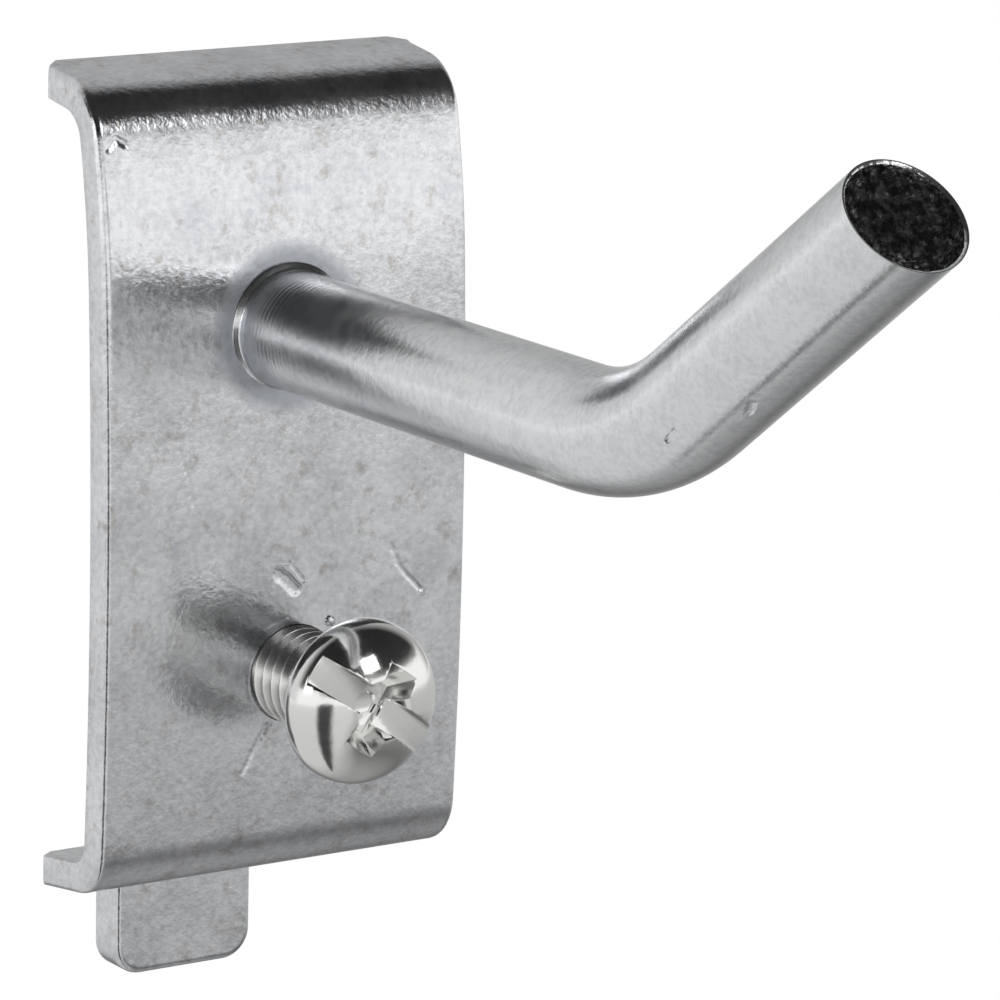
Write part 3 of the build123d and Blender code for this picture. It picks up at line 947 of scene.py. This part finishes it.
class HOOK_OT_finish(bpy.types.Operator):
    """Makes the plated finishes and gives them to the pieces."""

    bl_idname = "hook.finish"
    bl_label = "Finish the pieces"

    def execute(self, context):
        finishes = context.scene.hook_finishes
        sheet = zinc_sheet(finishes)
        dress(bpy.data.objects["pressed_plate"], sheet)
        dress(frame["nodes"]["tongue_strip"], sheet)
        dress(bpy.data.objects["bar"], zinc_bar(finishes), torn_steel(finishes))
        dress(bpy.data.objects["screw"], bright_screw(finishes))
        return {"FINISHED"}


def look_from(azimuth, elevation, roll):
    """Gives the turn of a camera that looks from an azimuth and elevation, rolled a little."""
    back = Vector((
        math.sin(azimuth) * math.cos(elevation), -math.cos(azimuth) * math.cos(elevation),
        math.sin(elevation)))
    right = Vector((math.cos(azimuth), math.sin(azimuth), 0))
    up = back.cross(right)
    turned_right = right * math.cos(roll) + up * math.sin(roll)
    turned_up = up * math.cos(roll) - right * math.sin(roll)
    return Matrix((turned_right, turned_up, back)).transposed()


CAMERA_PLACE = (-0.15098, -0.25056, 0.04763)
FLOOR_SIZE = 4.0
# Width over which the floor changes from its paler left to its darker right
FLOOR_CHANGE = 0.05
# Where the metal mirrors a dark camera in the room and its tripod on the floor
CAMERA_SEEN = (-0.53, -0.77, 0.36)
TRIPOD_SEEN = (-0.570, -0.822, 0.0)
LAMP_AIM = (0, -0.02, -0.02)
# Name, place, size and power in watts of each lamp
LAMPS = (
    ("key_box", (0.26, -0.68, 0.36), (0.24, 0.24), 0.45),
    ("side_box", (-0.90, -0.30, 0.30), (0.40, 0.30), 0.50),
)


def area_lamp(name, place, size, power):
    """Adds one soft rectangular lamp that faces the hook."""
    bpy.ops.object.light_add(type="AREA", location=place)
    lamp = bpy.context.object
    lamp.name = name
    lamp.data.shape = "RECTANGLE"
    lamp.data.size, lamp.data.size_y = size
    lamp.data.energy = power
    lamp.rotation_mode = "QUATERNION"
    lamp.rotation_quaternion = (Vector(LAMP_AIM) - Vector(place)).to_track_quat("-Z", "Y")


def backdrop_light(tree, shown):
    """Gives what a ray sees of the set: plain white from the camera, and in metal the set's grey, which
    is the world's light and, on the floor, painted reflection and shade.
    """
    path = add_node(tree, "ShaderNodeLightPath")
    level = add_node(tree, "ShaderNodeMath", {
        0: shown, 1: path.outputs["Is Camera Ray"]}, operation="MAXIMUM")
    seen = add_node(tree, "ShaderNodeMath", {
        0: path.outputs["Is Glossy Ray"], 1: path.outputs["Is Camera Ray"]}, operation="MAXIMUM")
    return level.outputs[0], seen.outputs[0]


def darkness_round(tree, direction, towards, greys):
    """Gives a grey that falls off round one direction."""
    near = add_node(tree, "ShaderNodeVectorMath", {0: direction, 1: towards}, operation="DOT_PRODUCT")
    return add_node(tree, "ShaderNodeValToRGB", {0: near.outputs["Value"]}, greys=greys).outputs[0]


def studio_world(scene):
    """Surrounds the hook with a white backdrop under a dark ceiling; the camera sees only white."""
    world = bpy.data.worlds.new("studio")
    scene.world = world
    world.use_nodes = True
    tree = world.node_tree
    tree.nodes.clear()
    direction = add_node(tree, "ShaderNodeTexCoord").outputs["Generated"]
    axes = add_node(tree, "ShaderNodeSeparateXYZ", {0: direction}).outputs
    # a direction's -1 to 1 becomes a ramp's 0 to 1
    x, y, z = [add_node(tree, "ShaderNodeMath", {
        0: axis, 1: 0.5, 2: 0.5}, operation="MULTIPLY_ADD").outputs[0] for axis in axes]
    behind = add_node(tree, "ShaderNodeValToRGB", {0: x}, greys=[
        (0.20, 0.72), (0.45, 0.58), (0.70, 0.42)])
    backwards = add_node(tree, "ShaderNodeValToRGB", {0: y}, greys=[(0.53, 0.0), (0.70, 1.0)])
    height = add_node(tree, "ShaderNodeValToRGB", {0: z}, greys=[
        (0.0, 0.4), (0.46, 0.95), (0.50, 1.0), (0.600, 1.0), (0.630, 0.22), (0.67, 0.03), (1.0, 0.015)])
    camera = darkness_round(tree, direction, CAMERA_SEEN, [(0.955, 1.0), (0.985, 0.06)])
    front = add_node(tree, "ShaderNodeMath", {
        0: height.outputs[0], 1: camera}, operation="MULTIPLY")
    shown = add_node(tree, "ShaderNodeMix", {
        0: backwards.outputs[0], 2: front.outputs[0], 3: behind.outputs[0]}, data_type="FLOAT")
    level, seen = backdrop_light(tree, shown.outputs[0])
    room = add_node(tree, "ShaderNodeBackground", {0: (1, 1, 1, 1), 1: 0.6})
    set_light = add_node(tree, "ShaderNodeBackground", {0: level, 1: 1.0})
    mix = add_node(tree, "ShaderNodeMixShader", {0: seen, 1: room.outputs[0], 2: set_light.outputs[0]})
    add_node(tree, "ShaderNodeOutputWorld", {0: mix.outputs[0]})


def floor_material(finishes):
    """Pale painted floor; for glossy rays it glows painted reflection and shade in place of its lit
    colour, so that the metal sees it greyer close to the hook than far off.
    """
    material, tree, shader, place = new_material("pale_floor")
    shader.inputs["Base Color"].default_value = tuple(finishes.floor)
    shader.inputs["Roughness"].default_value = 0.9
    away = add_node(tree, "ShaderNodeVectorMath", {0: place}, operation="LENGTH")
    # the ramps reach from the hook to the floor's edge
    share = add_node(tree, "ShaderNodeMath", {
        0: away.outputs["Value"], 1: 2 / FLOOR_SIZE}, operation="MULTIPLY").outputs[0]
    # painted reflection and shade: greys that the metal mirrors, darker close to the hook and on its
    # right
    right = add_node(tree, "ShaderNodeValToRGB", {0: share}, greys=[
        (0.0, 0.34), (0.025, 0.32), (0.055, 0.16), (0.10, 0.30), (0.17, 0.52), (0.50, 0.60), (1.0, 1.0)])
    left = add_node(tree, "ShaderNodeValToRGB", {0: share}, greys=[
        (0.0, 0.62), (0.12, 0.68), (0.50, 0.75), (1.0, 1.0)])
    across = add_node(tree, "ShaderNodeSeparateXYZ", {0: place})
    side = add_node(tree, "ShaderNodeMath", {
        0: across.outputs[0], 1: 1 / FLOOR_CHANGE, 2: 0.5}, operation="MULTIPLY_ADD", use_clamp=True)
    spread = add_node(tree, "ShaderNodeMix", {
        0: side.outputs[0], 2: left.outputs[0], 3: right.outputs[0]}, data_type="FLOAT")
    heading = add_node(tree, "ShaderNodeVectorMath", {0: place}, operation="NORMALIZE").outputs[0]
    tripod = darkness_round(tree, heading, TRIPOD_SEEN, [(0.970, 1.0), (0.990, 0.08)])
    shown = add_node(tree, "ShaderNodeMath", {
        0: spread.outputs[0], 1: tripod}, operation="MULTIPLY")
    level, seen = backdrop_light(tree, shown.outputs[0])
    white = add_node(tree, "ShaderNodeEmission", {0: level, 1: 1.0})
    mix = add_node(tree, "ShaderNodeMixShader", {0: seen, 1: shader.outputs[0], 2: white.outputs[0]})
    output = next(n for n in tree.nodes if n.type == "OUTPUT_MATERIAL")
    tree.links.new(mix.outputs[0], output.inputs[0])
    return material


class HOOK_OT_stage(bpy.types.Operator):
    """Sets the floor, the soft lamps, the room and the camera."""

    bl_idname = "hook.stage"
    bl_label = "Set the stage"

    def execute(self, context):
        settings = context.scene.hook_stage
        bpy.ops.object.select_all(action="DESELECT")
        floor_z = CAD_BOX[0].z - settings.floor_drop
        bpy.ops.mesh.primitive_plane_add(size=FLOOR_SIZE, location=(0, 0, floor_z))
        floor = context.object
        floor.name = "floor"
        dress(floor, floor_material(context.scene.hook_finishes))
        for lamp in LAMPS:
            area_lamp(*lamp)
        studio_world(context.scene)
        bpy.ops.object.camera_add(location=CAMERA_PLACE)
        camera = context.object
        camera.rotation_mode = "QUATERNION"
        turn = look_from(settings.azimuth, settings.elevation, settings.roll)
        camera.rotation_quaternion = turn.to_quaternion()
        camera.data.sensor_width = 36.0
        camera.data.lens = settings.lens
        camera.data.clip_start = 0.01
        camera.data.clip_end = 20.0
        context.scene.camera = camera
        context.scene.view_settings.view_transform = "Standard"
        return {"FINISHED"}


class HOOK_PT_panel(bpy.types.Panel):
    """Lists the steps and their settings."""

    bl_idname = "HOOK_PT_panel"
    bl_label = "Panel hook"
    bl_space_type = "VIEW_3D"
    bl_region_type = "UI"
    bl_category = "Hook"

    def draw(self, context):
        for operator in OPERATORS:
            self.layout.operator(operator.bl_idname)
        for name, group in GROUPS.items():
            box = self.layout.box()
            box.label(text=group.__doc__)
            for setting in group.__annotations__:
                box.prop(getattr(context.scene, name), setting)


OPERATORS = (HOOK_OT_plate, HOOK_OT_bar, HOOK_OT_screw, HOOK_OT_finish, HOOK_OT_stage)
GROUPS = {
    "hook_plate": HookPlateSizes,
    "hook_bar": HookBarSizes,
    "hook_screw": HookScrewSizes,
    "hook_finishes": HookFinishes,
    "hook_stage": HookStage,
}


def register():
    """Makes the settings, the operators and the panel known."""
    for group in GROUPS.values():
        bpy.utils.register_class(group)
    for name, group in GROUPS.items():
        setattr(bpy.types.Scene, name, bpy.props.PointerProperty(type=group))
    for operator in OPERATORS:
        bpy.utils.register_class(operator)
    bpy.utils.register_class(HOOK_PT_panel)


def unregister():
    """Takes them away again."""
    bpy.utils.unregister_class(HOOK_PT_panel)
    for operator in OPERATORS:
        bpy.utils.unregister_class(operator)
    for name in GROUPS:
        delattr(bpy.types.Scene, name)
    for group in GROUPS.values():
        bpy.utils.unregister_class(group)


def main():
    """Registers the classes and runs each step."""
    register()
    bpy.ops.hook.plate()
    bpy.ops.hook.bar()
    bpy.ops.hook.screw()
    bpy.ops.hook.finish()
    bpy.ops.hook.stage()


if __name__ == "__main__":
    main()
